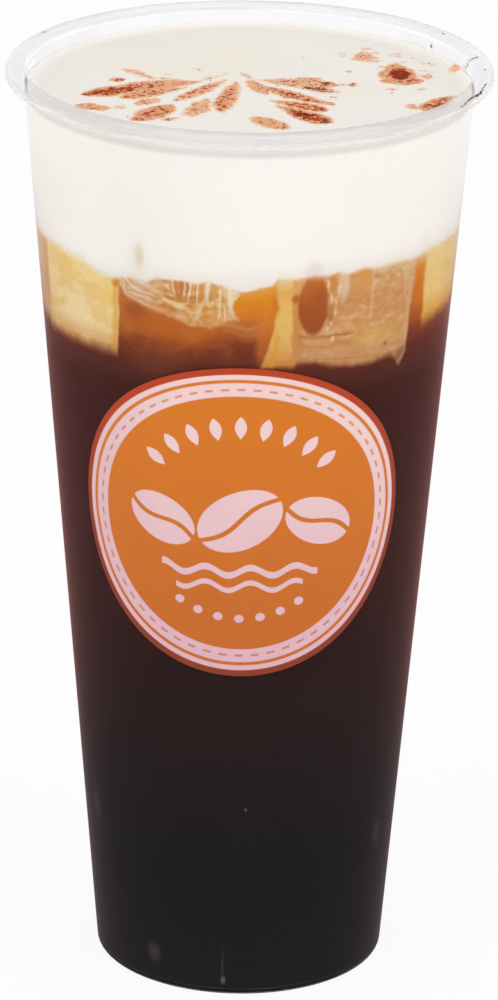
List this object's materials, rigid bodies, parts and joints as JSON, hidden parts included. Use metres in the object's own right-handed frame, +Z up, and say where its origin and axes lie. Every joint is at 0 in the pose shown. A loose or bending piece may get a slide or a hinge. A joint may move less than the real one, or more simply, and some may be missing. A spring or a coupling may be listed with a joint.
{
  "type": "iced coffee drink in a clear cup",
  "caption": "Iced coffee with ice under a thick layer of sea salt cream dusted with cocoa, in a tall clear tapered cup with a rolled rim and a round sticker.",
  "frame": {"origin": "middle of the foot ring's underside, where the cup rests", "axes": "+Z up the cup's axis, -Y towards the side that carries the sticker"},
  "size_m": [0.095, 0.095, 0.1854],
  "materials": {
    "cup": "clear moulded plastic",
    "coffee": "dark iced coffee, amber where cream and melted ice reach it",
    "cream": "whipped salted cream",
    "label": "printed sticker, slightly glossy"
  },
  "bodies": {
    "root": {"cup": "cup", "coffee": "coffee", "cream": "cream", "label": "label"}
  },
  "joints": []
}
